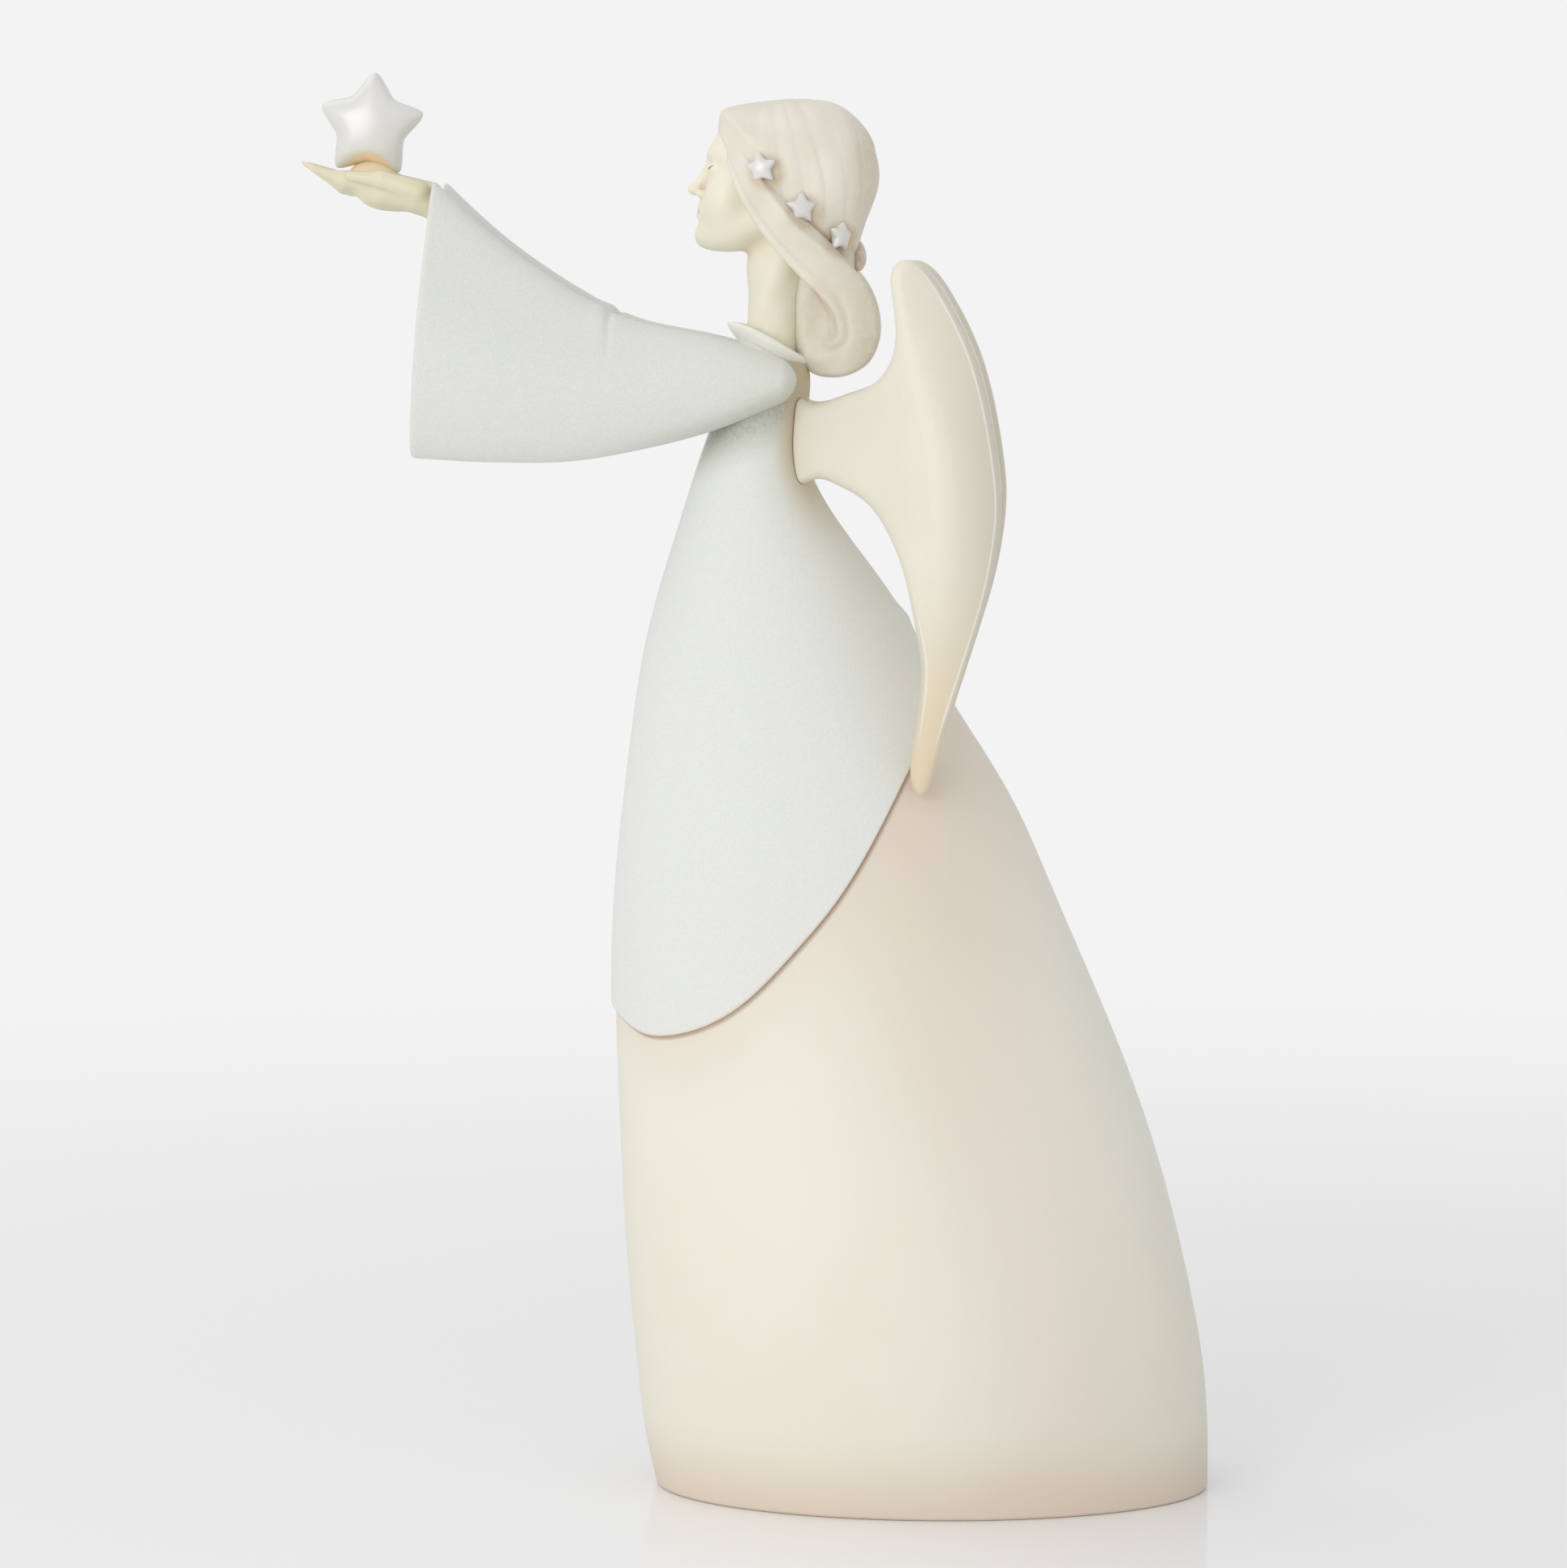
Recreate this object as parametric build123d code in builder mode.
from build123d import *
import os
from math import cos, hypot, pi, radians, sin, sqrt

# Angel figurine: a hollow skirt, a tunic over it, a head with its hair in a bun, two bell-sleeved
# arms whose hands hold a star, and two wings. Millimetres. The figure faces -Y, +X is its left side,
# +Z is up, and the origin is the centre of the foot, on the surface that it stands on.
# Every outline below is written in shares of the size that it belongs to, so that each named size
# can be changed by itself.

# ---------------------------------------------------------------- driving sizes

# Gown: skirt and torso
gown_height = 196.0        # foot to the base of the neck
base_depth = 94.0          # footprint, front to back
base_width = 63.0          # footprint, side to side
casting_wall = 3.5         # wall of the hollow skirt
cavity_height = 112.0      # foot to the crown of the hollow
plug_thickness = 3.0
felt_thickness = 1.2

# Tunic
waist_height = 152.0       # top of the core that carries the tunic
tunic_wall = 2.0
tunic_stand = 0.8          # how far the tunic stands out from the skirt

# Head and hair
head_height = 26.0         # chin to crown
head_tilt = 11.0           # degrees, looking up
neck_radius = 4.4
neck_length = 14.0         # top of the gown to the chin
neck_spigot = 8.0          # length of the neck inside the torso
band_thickness = 4.4       # rolled bands of hair, measured out from the head
bun_width = 13.0

# Collar
collar_height = 3.4
collar_wall = 1.1
collar_flare = 1.2         # how far its top leans out

# Arms
sleeve_length = 64.5       # shoulder to the mouth of the bell
bell_height = 46.0
bell_width = 17.0
sleeve_wall = 1.6
shoulder_drop = 6.0        # shoulder's middle below the top of the gown
shoulder_spread = 11.0     # shoulder's middle, out from the middle plane
bell_spread = 12.0         # bell's middle, out from the middle plane
mouth_lean = 4.5           # degrees that the mouth leans back at its top
shoulder_peg_radius = 2.5
shoulder_peg_length = 4.0
hand_length = 23.0         # wrist to fingertips
hand_width = 9.4
wrist_radius = 2.6
forearm_radius = 2.8
forearm_peg = 7.0          # length of the forearm inside the solid part of the sleeve

# Stars
star_radius = 10.0         # before its points are blunted
star_notch = 5.6           # inner radius between two points
star_thickness = 8.0
star_turn = 6.5            # degrees, leaning towards the figure
hair_star_radius = 2.7
hair_star_notch = 1.5
hair_star_thickness = 2.0

# Wings
wing_height = 88.0         # tip to tip
wing_depth = 34.0          # root to the trailing edge
wing_spread = 30.0         # ridge, out from the middle plane
wing_thickness = 4.0
wing_root_drop = 18.0      # middle of the root below the top of the gown
wing_tenon_width = 2.6
wing_tenon_height = 7.0
wing_tenon_length = 4.0
wing_tenon_angle = 45.0    # degrees: how far a wing's root turns out from straight back

# Clearance between two castings that are glued together
glue_line = 0.1

# ---------------------------------------------------------------- shared geometry

half_depth = base_depth / 2
half_width = base_width / 2
far_out = 3 * base_depth   # beyond every piece: the size of cutting shapes

# Gown from foot to neck: height, front, back and half-width, as shares of gown_height, half_depth
# and half_width. The front bows out to the tunic's hem, and the back sweeps in to the waist.
GOWN = [
    (0.000, -1.000, 1.000, 1.000),
    (0.040, -1.038, 1.000, 1.022),
    (0.096, -1.068, 0.987, 1.045),
    (0.194, -1.106, 0.915, 1.035),
    (0.311, -1.132, 0.785, 0.980),
    (0.408, -1.146, 0.634, 0.920),
    (0.523, -1.134, 0.428, 0.830),
    (0.607, -1.098, 0.266, 0.737),
    (0.679, -1.060, 0.079, 0.643),
    (0.735, -1.020, -0.062, 0.565),
    (0.791, -0.958, -0.215, 0.485),
    (0.847, -0.885, -0.385, 0.410),
    (0.903, -0.809, -0.480, 0.365),
    (0.959, -0.722, -0.462, 0.330),
    (1.000, -0.665, -0.495, 0.200),
]


def gown_at(height):
    """Front, back and half-width of the gown at a height."""
    share = min(max(height / gown_height, 0), 1)
    for low, high in zip(GOWN, GOWN[1:]):
        if share <= high[0]:
            t = (share - low[0]) / (high[0] - low[0])
            front, back, half = (a + t * (b - a) for a, b in zip(low[1:], high[1:]))
            break
    return front * half_depth, back * half_depth, half * half_width


def oval(plane, across, up, half_across, half_up):
    """An ellipse on a plane, as one face."""
    with BuildSketch(plane) as ring:
        with Locations((across, up)):
            Ellipse(half_across, half_up)
    return ring.sketch.faces()[0]


def gown_sections(grow):
    """Sections of the gown, grown outwards all round."""
    faces = []
    for share, front, back, half in GOWN:
        middle = (front + back) / 2 * half_depth
        reach = (back - front) / 2 * half_depth
        plane = Plane.XY.offset(share * gown_height)
        faces.append(oval(plane, 0, middle, half * half_width + grow, reach + grow))
    return faces


def side_prism(points, corners):
    """A prism across the figure: a spline through points in (Y, Z), closed through corners."""
    with BuildSketch(Plane.YZ) as outline:
        with BuildLine():
            Spline(*points)
            Polyline(points[-1], *corners, points[0])
        make_face()
    return extrude(outline.sketch, amount=far_out, both=True, mode=Mode.PRIVATE)


# ---------------------------------------------------------------- anchors

neck_y = (GOWN[-1][1] + GOWN[-1][2]) / 2 * half_depth
chin_z = gown_height + neck_length
shoulder_z = gown_height - shoulder_drop
shoulder_y = gown_at(shoulder_z)[1]
wing_z = gown_height - wing_root_drop
wing_y = gown_at(wing_z)[1] + tunic_stand
tunic_inset = tunic_wall - tunic_stand

# ---------------------------------------------------------------- skirt

# The tunic's hem from the side: low in front, rising to the back. Shares of half_depth and
# gown_height.
HEM = [
    (-1.270, 0.430),
    (-1.155, 0.4175),
    (-1.090, 0.4095),
    (-0.995, 0.4020),
    (-0.900, 0.4010),
    (-0.780, 0.4095),
    (-0.625, 0.4320),
    (-0.465, 0.4690),
    (-0.295, 0.5260),
    (-0.130, 0.5980),
    (0.040, 0.6700),
    (0.260, 0.7500),
]


def above_hem(lift):
    """Everything above the tunic's hem, raised by a small lift."""
    points = [(y * half_depth, z * gown_height + lift) for y, z in HEM]
    corners = [(points[-1][0], 2 * gown_height), (points[0][0], 2 * gown_height)]
    return side_prism(points, corners)


# The core that carries the tunic, the hollow inside the casting, and the room that the tunic leaves
# for its core.
with BuildPart() as core:
    loft(gown_sections(-tunic_inset - glue_line))
    split(bisect_by=Plane.XY.offset(waist_height), keep=Keep.BOTTOM)

with BuildPart() as hollow:
    loft(gown_sections(-casting_wall))
    split(bisect_by=Plane.XY.offset(cavity_height), keep=Keep.BOTTOM)

with BuildPart() as core_room:
    loft(gown_sections(-tunic_inset))
    split(bisect_by=Plane.XY.offset(waist_height), keep=Keep.BOTTOM)

with BuildPart() as skirt:
    loft(gown_sections(0))
    add(above_hem(0), mode=Mode.SUBTRACT)
    add(core.part)
    add(hollow.part, mode=Mode.SUBTRACT)
skirt.part.label = "skirt"

# The foot is closed by a plug and a felt pad that lies flush with the skirt's rim.
rim_half_width = half_width - casting_wall - glue_line
rim_half_depth = half_depth - casting_wall - glue_line

with BuildPart() as base_felt:
    with BuildSketch():
        Ellipse(rim_half_width, rim_half_depth)
    extrude(amount=felt_thickness)
base_felt.part.label = "base_felt"

with BuildPart() as base_plug:
    with BuildSketch(Plane.XY.offset(felt_thickness)):
        Ellipse(rim_half_width, rim_half_depth)
    extrude(amount=plug_thickness)
base_plug.part.label = "base_plug"

# ---------------------------------------------------------------- tunic

# Both wings' tenons share the back of the torso, this share of the wings' spread out from its middle.
TENON_OUT = 0.16
tenon_x = wing_spread * TENON_OUT


socket_floor = gown_height - neck_spigot


def neck_cylinder(radius, low, high):
    """An upright cylinder on the neck's axis."""
    return Pos(0, neck_y, (low + high) / 2) * Cylinder(radius, high - low, mode=Mode.PRIVATE)


def shoulder_peg(side, clearance):
    """The peg that carries an arm, pointing from the sleeve into the torso."""
    front, back, torso_half = gown_at(shoulder_z)
    start = torso_half - shoulder_peg_length - clearance
    length = shoulder_spread - start
    middle_y = (front + back) / 2
    peg = Cylinder(shoulder_peg_radius + clearance, length, rotation=(0, 90, 0), mode=Mode.PRIVATE)
    return Pos(side * (start + length / 2), middle_y, shoulder_z) * peg


def wing_tenon(side, clearance):
    """The tongue of a wing's root, let into the torso's back."""
    size = (
        wing_tenon_width + 2 * clearance,
        2 * wing_tenon_length + 2 * clearance,
        wing_tenon_height + 2 * clearance,
    )
    tongue = Rot(0, 0, -side * wing_tenon_angle) * Box(*size, mode=Mode.PRIVATE)
    return Pos(side * tenon_x, wing_y - wing_tenon_length / 2, wing_z) * tongue


with BuildPart() as tunic:
    loft(gown_sections(tunic_stand))
    add(above_hem(glue_line), mode=Mode.INTERSECT)
    add(core_room.part, mode=Mode.SUBTRACT)
    add(neck_cylinder(neck_radius + glue_line, socket_floor, 2 * gown_height), mode=Mode.SUBTRACT)
    for side in (1, -1):
        add(shoulder_peg(side, glue_line), mode=Mode.SUBTRACT)
        add(wing_tenon(side, glue_line), mode=Mode.SUBTRACT)
tunic.part.label = "tunic"

# ---------------------------------------------------------------- head

# The head from chin to crown, upright, on the proportions of a drawing book: height, front, back and
# half-width, in head heights, measured from the chin and from the neck's axis.
SKULL = [
    (-0.070, -0.230, 0.000, 0.110),
    (0.000, -0.370, 0.050, 0.150),
    (0.060, -0.425, 0.090, 0.195),
    (0.180, -0.435, 0.190, 0.255),
    (0.320, -0.435, 0.360, 0.305),
    (0.480, -0.430, 0.520, 0.330),
    (0.620, -0.440, 0.580, 0.335),
    (0.750, -0.420, 0.560, 0.315),
    (0.870, -0.350, 0.430, 0.250),
    (0.930, -0.240, 0.280, 0.150),
]

# The nose, a small wedge on the middle of the face: height, reach and half-width.
NOSE = [(0.310, -0.450, 0.040), (0.345, -0.540, 0.050), (0.450, -0.500, 0.040), (0.580, -0.450, 0.020)]
NOSE_DEPTH = 0.12          # from the tip to the middle of the wedge

# The hair's outer surface in the same units.
HAIR = [
    (-0.160, 0.300, 0.560, 0.130),
    (-0.040, 0.150, 0.560, 0.260),
    (0.120, -0.020, 0.610, 0.345),
    (0.300, -0.160, 0.660, 0.385),
    (0.450, -0.250, 0.690, 0.402),
    (0.600, -0.310, 0.690, 0.400),
    (0.750, -0.360, 0.635, 0.380),
    (0.860, -0.350, 0.540, 0.325),
    (0.915, -0.290, 0.465, 0.265),
    (0.955, -0.080, 0.360, 0.170),
    (0.973, 0.100, 0.280, 0.080),
]


def head_sections(stations, grow):
    """Level sections of the head or the hair."""
    faces = []
    for share, front, back, half in stations:
        middle = neck_y + (front + back) / 2 * head_height
        reach = (back - front) / 2 * head_height
        plane = Plane.XY.offset(chin_z + share * head_height)
        faces.append(oval(plane, 0, middle, half * head_height + grow, reach + grow))
    return faces


def face_lean(share):
    """How far the face is set back at a height, because the figure looks slightly up."""
    return (share - 0.5) * sin(radians(head_tilt))


def skull_sections(grow):
    """Level sections of the head, its face leaning back."""
    stations = [(share, front + face_lean(share), back, half) for share, front, back, half in SKULL]
    return head_sections(stations, grow)


def nose_sections():
    """Level sections of the nose, leaning back with the face."""
    faces = []
    for share, front, half in NOSE:
        middle = neck_y + (front + face_lean(share) + NOSE_DEPTH) * head_height
        plane = Plane.XY.offset(chin_z + share * head_height)
        faces.append(oval(plane, 0, middle, half * head_height, NOSE_DEPTH * head_height))
    return faces


neck_top = chin_z + head_height / 3

with BuildPart() as head:
    loft(skull_sections(0))
    add(neck_cylinder(neck_radius, socket_floor + glue_line, neck_top))
    loft(nose_sections())
head.part.label = "head"

# ---------------------------------------------------------------- hair

# The hairline from the side, from in front of the brow down to the nape, in head heights from the
# neck's axis and the chin.
HAIRLINE = [(-0.600, 0.770), (-0.330, 0.740), (-0.210, 0.450), (0.020, 0.060), (0.200, -0.250)]


def from_chin(y, z):
    """A point of the side view, given in head heights from the neck's axis and the chin."""
    return (neck_y + y * head_height, chin_z + z * head_height)


# The room that the hair leaves for the head and the neck.
with BuildPart() as skull_room:
    loft(skull_sections(glue_line))
    add(neck_cylinder(neck_radius + glue_line, gown_height, neck_top))

face_corner = from_chin(-1, -0.4)
hairline = [from_chin(*point) for point in HAIRLINE]

with BuildPart() as hair_cap:
    loft(head_sections(HAIR, 0))
    add(side_prism(hairline, [(hairline[-1][0], face_corner[1]), face_corner]), mode=Mode.SUBTRACT)
    add(skull_room.part, mode=Mode.SUBTRACT)
hair_cap.part.label = "hair_cap"

# The bun hangs behind the neck: height, front, back and half-width in head heights, the last as a
# share of half the bun's width.
BUN = [
    (-0.815, 0.330, 0.420, 0.300),
    (-0.770, 0.240, 0.560, 0.650),
    (-0.640, 0.190, 0.690, 0.960),
    (-0.480, 0.180, 0.710, 1.000),
    (-0.330, 0.160, 0.670, 0.960),
    (-0.200, 0.150, 0.590, 0.800),
    (-0.060, 0.200, 0.530, 0.450),
]

bun_share = bun_width / 2 / head_height

with BuildPart() as chignon:
    loft(head_sections([(share, front, back, half * bun_share) for share, front, back, half in BUN], 0))
    add(hair_cap.part, mode=Mode.SUBTRACT)
    add(skull_room.part, mode=Mode.SUBTRACT)
    add(tunic.part, mode=Mode.SUBTRACT)
chignon.part.label = "chignon"

# A rolled band runs from the brow over the temple to the bun: its middle (out, along, up) in head
# heights, and half its breadth.
BAND = [
    (0.130, -0.300, 0.830, 0.030),
    (0.270, -0.240, 0.680, 0.070),
    (0.340, -0.130, 0.460, 0.095),
    (0.360, 0.010, 0.230, 0.115),
    (0.330, 0.180, 0.020, 0.150),
    (0.275, 0.350, -0.200, 0.185),
    (0.230, 0.420, -0.430, 0.190),
    (0.180, 0.400, -0.640, 0.130),
]


def band_sections():
    """Ovals square to the band's path, thin outwards, broad along the head and half as thick at the brow."""
    places = [Vector(x * head_height, *from_chin(y, z)) for x, y, z, _ in BAND]
    faces = []
    for index, place in enumerate(places):
        before = places[max(index - 1, 0)]
        after = places[min(index + 1, len(places) - 1)]
        plane = Plane(place, x_dir=(1, 0, 0), z_dir=after - before)
        fullness = min(1, 0.5 + index / 4)
        half_breadth = BAND[index][3] * head_height
        faces.append(oval(plane, 0, 0, fullness * band_thickness / 2, half_breadth))
    return faces


with BuildPart() as hair_roll_left:
    loft(band_sections())
    for neighbour in (hair_cap.part, skull_room.part, chignon.part, tunic.part):
        add(neighbour, mode=Mode.SUBTRACT)
hair_roll_left.part.label = "hair_roll_left"

# ---------------------------------------------------------------- collar

collar_low = gown_height - collar_height / 2
collar_high = gown_height + collar_height / 2
collar_radius = neck_radius + glue_line + collar_wall

# The collar's top edge from the side: level in front, falling away to the nape. Shares of the
# collar's outer radius and of its height.
COLLAR_TOP = [(-3.000, 0.560), (-1.000, 0.520), (0.000, 0.360), (0.550, 0.050), (1.500, -0.700)]

collar_edge = [(neck_y + y * collar_radius, gown_height + z * collar_height) for y, z in COLLAR_TOP]
above_collar = [(collar_edge[-1][0], 2 * gown_height), (collar_edge[0][0], 2 * gown_height)]


def collar_cone(radius):
    """Level rings of a cone on the neck's axis that opens by the collar's flare."""
    wide = radius + collar_flare
    return [
        oval(Plane.XY.offset(collar_low), 0, neck_y, radius, radius),
        oval(Plane.XY.offset(collar_high), 0, neck_y, wide, wide),
    ]


with BuildPart() as collar:
    loft(collar_cone(collar_radius))
    loft(collar_cone(collar_radius - collar_wall), mode=Mode.SUBTRACT)
    add(side_prism(collar_edge, above_collar), mode=Mode.SUBTRACT)
    add(tunic.part, mode=Mode.SUBTRACT)
    add(chignon.part, mode=Mode.SUBTRACT)
collar.part.label = "collar"

# ---------------------------------------------------------------- sleeves

# Sleeve from shoulder to bell: way along, top and bottom of the section as shares of bell_height
# from the shoulder's level, and half-width as a share of half of bell_width.
SLEEVE = [
    (0.000, 0.030, -0.030, 0.240),
    (0.034, 0.072, -0.075, 0.520),
    (0.115, 0.113, -0.150, 0.720),
    (0.270, 0.143, -0.240, 0.800),
    (0.466, 0.200, -0.304, 0.850),
    (0.605, 0.304, -0.333, 0.890),
    (0.740, 0.416, -0.337, 0.940),
    (0.865, 0.575, -0.333, 0.980),
    (0.946, 0.678, -0.326, 0.990),
    (1.050, 0.790, -0.318, 1.000),
]
HOLLOW_FROM = 5            # the bell is hollow from this station to its mouth


def sleeve_middle(share):
    """How far out the sleeve's middle is, part of the way along."""
    return shoulder_spread + (bell_spread - shoulder_spread) * min(share, 1)


def sleeve_sections(stations, shrink):
    """Upright sections of the left sleeve."""
    faces = []
    for share, top, bottom, half in stations:
        plane = Plane.XZ.offset(-(shoulder_y - share * sleeve_length))
        middle = shoulder_z + (top + bottom) / 2 * bell_height
        reach = (top - bottom) / 2 * bell_height - shrink
        faces.append(oval(plane, sleeve_middle(share), middle, half * bell_width / 2 - shrink, reach))
    return faces


mouth_y = shoulder_y - sleeve_length
mouth_z = shoulder_z + SLEEVE[-1][2] * bell_height
mouth_cut = Pos(0, mouth_y, mouth_z) * Rot(-mouth_lean, 0, 0) * Pos(0, -far_out / 2, 0) * Box(
    far_out, far_out, 2 * far_out, mode=Mode.PRIVATE
)

# The forearm lies close under the sleeve's top: from the wrist at the mouth down to its peg. The
# wrist's rise is from the bottom of the mouth and the elbow's from the shoulder, in bell heights, and
# the forearm starts lower than the wrist, where the sleeve leaves room for it.
WRIST_RISE = 0.930
ELBOW_RISE = 0.100
FOREARM_DROP = 1.75        # in wrist radii
wrist = Vector(
    sleeve_middle(1) - wrist_radius / 2,
    mouth_y + WRIST_RISE * bell_height * sin(radians(mouth_lean)),
    shoulder_z + (SLEEVE[-1][2] + WRIST_RISE) * bell_height,
)
elbow = Vector(
    sleeve_middle(SLEEVE[HOLLOW_FROM][0]),
    shoulder_y - SLEEVE[HOLLOW_FROM][0] * sleeve_length,
    shoulder_z + ELBOW_RISE * bell_height,
)
forearm_start = wrist + Vector(0, wrist_radius, -FOREARM_DROP * wrist_radius)
forearm_way = (elbow - forearm_start).normalized()


def forearm(clearance):
    """Tapered forearm from just inside the mouth to the end of its peg."""
    peg_end = elbow + forearm_way * (forearm_peg + clearance)
    thin = wrist_radius + clearance
    thick = forearm_radius + clearance
    ends = [
        oval(Plane(forearm_start, z_dir=forearm_way), 0, 0, thin, thin),
        oval(Plane(peg_end, z_dir=forearm_way), 0, 0, thick, thick),
    ]
    return loft(ends, mode=Mode.PRIVATE)


with BuildPart() as sleeve_left:
    loft(sleeve_sections(SLEEVE, 0))
    loft(sleeve_sections(SLEEVE[HOLLOW_FROM:], sleeve_wall), mode=Mode.SUBTRACT)
    add(mouth_cut, mode=Mode.SUBTRACT)
    add(forearm(glue_line), mode=Mode.SUBTRACT)
    add(tunic.part, mode=Mode.SUBTRACT)
    add(collar.part, mode=Mode.SUBTRACT)
    add(shoulder_peg(1, 0))
sleeve_left.part.label = "sleeve_left"

# ---------------------------------------------------------------- star

POINT_ROUNDING = 1 / 9     # radius of a point's tip, as a share of the star's radius
FACE_SIZE = 0.6            # how large the star's two faces are beside its middle
FACE_ROUNDING = 0.9        # how far the sides curve in towards the faces: 1 is a half circle


def star_outline(plane, radius, notch):
    """Five-pointed star with blunt points, as one face."""
    corners = []
    for index in range(10):
        reach = radius if index % 2 == 0 else notch
        angle = pi / 2 + index * pi / 5
        corners.append((reach * cos(angle), reach * sin(angle)))
    with BuildSketch(plane) as outline:
        Polygon(*corners, align=None)
        fillet(outline.vertices().sort_by(SortBy.DISTANCE)[-5:], radius * POINT_ROUNDING)
    return outline.sketch.faces()[0]


def star_plane(place, outward, turn, offset):
    """Plane of a star: outward is its normal, and its first point is up before the turn."""
    plane = Plane(place, x_dir=Vector(0, 0, 1).cross(outward), z_dir=outward)
    return plane.rotated((0, 0, turn)).offset(offset)


def puffy_star(place, outward, turn, radius, notch, thickness):
    """A cushion-shaped star: full size in its middle, smaller towards both faces."""
    faces = []
    for level in (-1.0, -0.6, 0.0, 0.6, 1.0):
        size = FACE_SIZE + (1 - FACE_SIZE) * sqrt(1 - FACE_ROUNDING * level * level)
        plane = star_plane(place, outward, turn, level * thickness / 2)
        faces.append(star_outline(plane, radius * size, notch * size))
    return loft(faces, mode=Mode.PRIVATE)


# Hand from wrist to fingertips: way along, rise, half-height, and its middle and half-width across.
HAND = [
    (-0.110, -0.170, 0.120, 1.040, 0.260),
    (0.000, -0.050, 0.085, 0.980, 0.320),
    (0.120, 0.030, 0.105, 0.800, 0.440),
    (0.270, 0.090, 0.125, 0.610, 0.560),
    (0.450, 0.092, 0.125, 0.520, 0.560),
    (0.620, 0.112, 0.102, 0.500, 0.530),
    (0.750, 0.154, 0.074, 0.490, 0.460),
    (0.900, 0.230, 0.037, 0.450, 0.340),
    (1.000, 0.278, 0.012, 0.430, 0.170),
]

# The star stands on its two lower points, let a little into the palms: the middle of the palms along
# the hand and their top above the wrist, in hand lengths, and the star's rise in its radii.
PALM_ALONG = 0.490
PALM_RISE = 0.215
STAR_RISE = 0.66
palm_top = wrist.Z + PALM_RISE * hand_length
star_place = Vector(0, wrist.Y - PALM_ALONG * hand_length, palm_top + STAR_RISE * star_radius)

with BuildPart() as star:
    add(puffy_star(star_place, Vector(1, 0, 0), -star_turn, star_radius, star_notch, star_thickness))
star.part.label = "star"

# ---------------------------------------------------------------- hands

def hand_sections():
    """Upright sections of the left hand, palm up and turned in towards the middle plane."""
    faces = []
    for share, rise, half_up, inward, half_across in HAND:
        plane = Plane.XZ.offset(-(wrist.Y - share * hand_length))
        middle = wrist.Z + rise * hand_length
        faces.append(oval(plane, inward * wrist.X, middle, half_across * hand_width, half_up * hand_length))
    return faces


with BuildPart() as hand_left:
    loft(hand_sections())
    add(forearm(0))
    split(bisect_by=Plane.YZ.offset(glue_line), keep=Keep.TOP)
    add(star.part, mode=Mode.SUBTRACT)
hand_left.part.label = "hand_left"

# ---------------------------------------------------------------- wings

# Wing from the side, as shares of wing_depth back from the root and of wing_height above it: over
# the stem, round the blade, and back under the stem.
WING = [
    (-0.080, 0.073),
    (0.030, 0.075),
    (0.180, 0.085),
    (0.330, 0.106),
    (0.430, 0.142),
    (0.472, 0.196),
    (0.460, 0.260),
    (0.445, 0.310),
    (0.475, 0.338),
    (0.550, 0.345),
    (0.640, 0.320),
    (0.740, 0.260),
    (0.850, 0.170),
    (0.930, 0.060),
    (0.980, -0.060),
    (0.985, -0.150),
    (0.940, -0.260),
    (0.860, -0.370),
    (0.760, -0.490),
    (0.690, -0.580),
    (0.640, -0.645),
    (0.600, -0.663),
    (0.555, -0.650),
    (0.545, -0.600),
    (0.575, -0.520),
    (0.600, -0.420),
    (0.570, -0.340),
    (0.530, -0.265),
    (0.480, -0.205),
    (0.400, -0.145),
    (0.300, -0.105),
    (0.180, -0.082),
    (0.050, -0.074),
    (-0.080, -0.072),
]

# The wing's plan at several levels: how far out and back its ridge is, and its trailing edge, as
# shares of wing_spread and wing_depth. The stem runs from the root to the ridge, and the blade from
# the ridge to the trailing edge. The root starts inside the torso, and the stem's middle lies part
# of the way to the ridge.
WING_PLAN = [
    (-0.720, 0.680, 0.600, 0.560),
    (-0.560, 0.800, 0.620, 0.640),
    (-0.400, 0.920, 0.660, 0.740),
    (-0.230, 0.990, 0.680, 0.800),
    (-0.050, 1.000, 0.670, 0.820),
    (0.120, 0.960, 0.600, 0.780),
    (0.260, 0.880, 0.520, 0.700),
    (0.400, 0.780, 0.460, 0.620),
]


ROOT_OUT = 0.112           # share of wing_spread
ROOT_DEPTH = 0.10          # share of wing_depth, into the torso
STEM_OUT = 0.62            # share of the ridge's way out
STEM_BACK = 0.50           # share of the ridge's way back
EDGE_BACK = 1.08           # share of wing_depth


def shifted(before, place, after, amount):
    """A point moved square to the way from its neighbour before to its neighbour after."""
    along = (after[0] - before[0], after[1] - before[1])
    length = hypot(*along)
    return (place[0] + along[1] / length * amount, place[1] - along[0] / length * amount)


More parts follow.
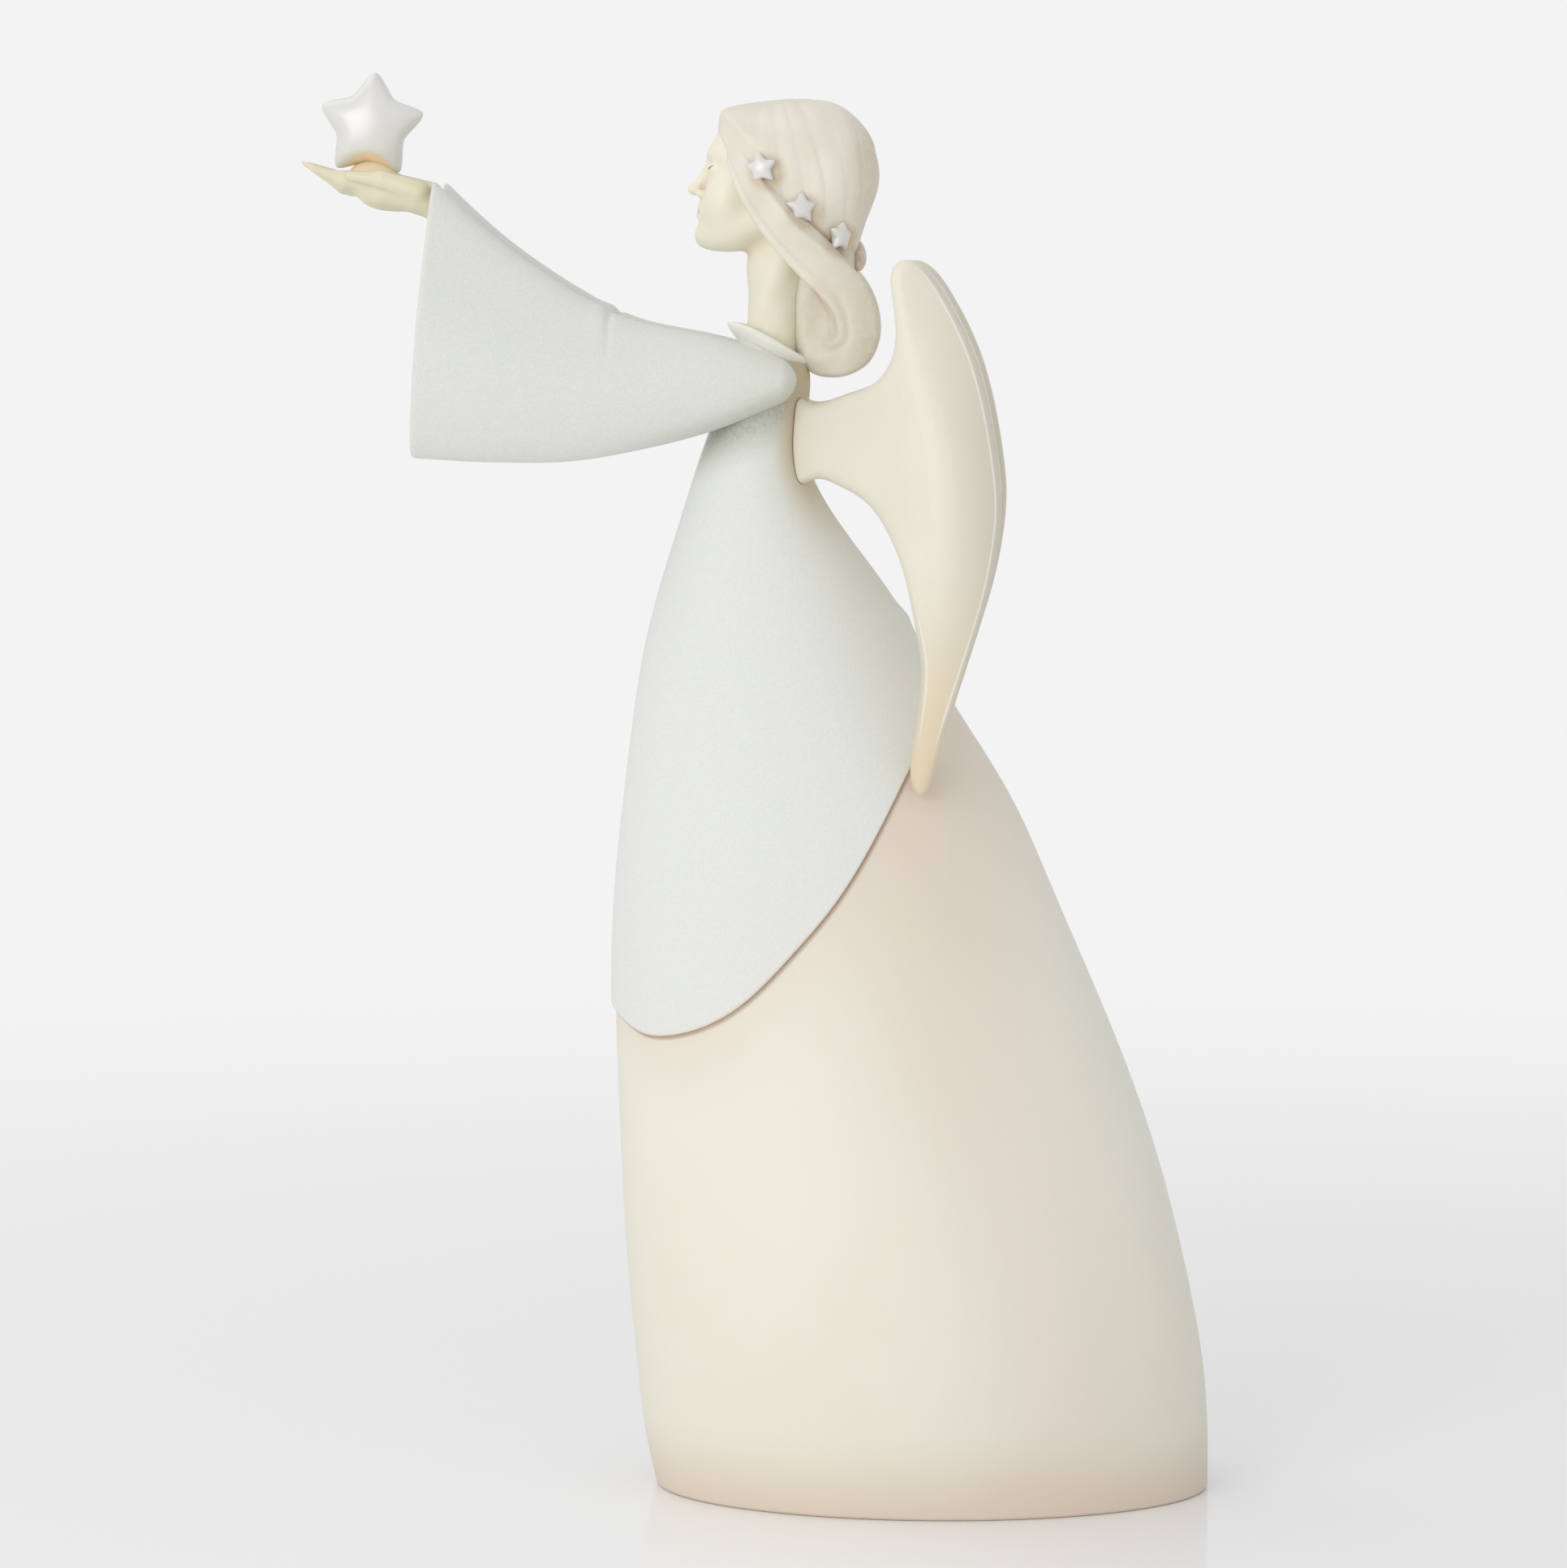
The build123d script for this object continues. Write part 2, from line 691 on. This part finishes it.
def wing_section(level, ridge_out, ridge_back, edge_out):
    """The wing's plan at one level as a face: stem, ridge and blade, of even thickness."""
    root = (wing_spread * ROOT_OUT, wing_y - wing_depth * ROOT_DEPTH)
    ridge = (wing_spread * ridge_out, wing_y + wing_depth * ridge_back)
    stem = (ridge[0] * STEM_OUT, wing_y + wing_depth * ridge_back * STEM_BACK)
    edge = (wing_spread * edge_out, wing_y + wing_depth * EDGE_BACK)
    way = [root, stem, ridge, edge]
    outer = []
    inner = []
    for index, place in enumerate(way):
        before = way[max(index - 1, 0)]
        after = way[min(index + 1, len(way) - 1)]
        outer.append(shifted(before, place, after, wing_thickness / 2))
        inner.append(shifted(before, place, after, -wing_thickness / 2))
    with BuildSketch(Plane.XY.offset(wing_z + level * wing_height)) as plan:
        with BuildLine():
            Spline(*outer)
            Line(outer[-1], inner[-1])
            Spline(*reversed(inner))
            Line(inner[0], outer[0])
        make_face()
    return plan.sketch.faces()[0]


wing_side = [(wing_y + y * wing_depth, wing_z + z * wing_height) for y, z in WING]

with BuildPart() as wing_left:
    loft([wing_section(*station) for station in WING_PLAN])
    add(side_prism(wing_side, []), mode=Mode.INTERSECT)
    loft(gown_sections(tunic_stand + glue_line), mode=Mode.SUBTRACT)
    add(wing_tenon(1, 0))
wing_left.part.label = "wing_left"

# ---------------------------------------------------------------- stars in the hair

# Where each star sits on the hair: back from the neck's axis and up from the chin, in head heights,
# the turn of its points in degrees, and how much of the band's thickness it is lifted by.
HAIR_STARS = {
    "front": (-0.045, 0.520, 10, 0.3),
    "middle": (0.200, 0.265, 0, 0.0),
    "rear": (0.475, 0.085, -8, 0.0),
}


def hair_at(z):
    """Front, back and half-width of the hair at a height in head heights."""
    for low, high in zip(HAIR, HAIR[1:]):
        if z <= high[0]:
            t = (z - low[0]) / (high[0] - low[0])
            return tuple(a + t * (b - a) for a, b in zip(low[1:], high[1:]))
    return HAIR[-1][1:]


def on_hair(y, z):
    """The point of the left side of the hair at (y, z), and the way out from there."""
    front, back, half = hair_at(z)
    middle = (front + back) / 2
    reach = (back - front) / 2
    along = min(max((y - middle) / reach, -1), 1)
    x = half * sqrt(1 - along * along)
    out = Vector(x / half**2, (y - middle) / reach**2, 0).normalized()
    return Vector(x * head_height, *from_chin(y, z)), out


def hair_star(place, out, turn):
    """A small star with its middle a little outside a place on the hair."""
    middle = place + out * hair_star_thickness / 4
    return puffy_star(middle, out, turn, hair_star_radius, hair_star_notch, hair_star_thickness)


hair_stars = {}
for row, (y, z, turn, lift) in HAIR_STARS.items():
    place, out = on_hair(y, z)
    with BuildPart() as small_star:
        add(hair_star(place + out * lift * band_thickness, out, turn))
        add(hair_cap.part, mode=Mode.SUBTRACT)
        add(hair_roll_left.part, mode=Mode.SUBTRACT)
    small_star.part.label = f"hair_star_left_{row}"
    hair_stars[small_star.part.label] = small_star.part

# One more star sits in the middle of the back of the hair, this many head heights above the chin.
BACK_STAR_RISE = 0.010
back_star_place = Vector(0, *from_chin(hair_at(BACK_STAR_RISE)[1], BACK_STAR_RISE))

with BuildPart() as hair_star_back:
    add(hair_star(back_star_place, Vector(0, 1, 0), 0))
    for neighbour in (hair_cap.part, chignon.part, hair_roll_left.part):
        add(neighbour, mode=Mode.SUBTRACT)
    add(mirror(hair_roll_left.part, about=Plane.YZ, mode=Mode.PRIVATE), mode=Mode.SUBTRACT)
hair_star_back.part.label = "hair_star_back"

# ---------------------------------------------------------------- the right side and the files

left_pieces = [hair_roll_left.part, sleeve_left.part, hand_left.part, wing_left.part, *hair_stars.values()]
middle_pieces = [
    base_felt.part,
    base_plug.part,
    skirt.part,
    tunic.part,
    collar.part,
    head.part,
    hair_cap.part,
    chignon.part,
    star.part,
    hair_star_back.part,
]

os.makedirs("parts", exist_ok=True)
for piece in middle_pieces + left_pieces:
    export_step(piece, f"parts/{piece.label}.step")
for piece in left_pieces:
    twin = mirror(piece, about=Plane.YZ, mode=Mode.PRIVATE)
    twin.label = piece.label.replace("left", "right")
    export_step(twin, f"parts/{twin.label}.step")
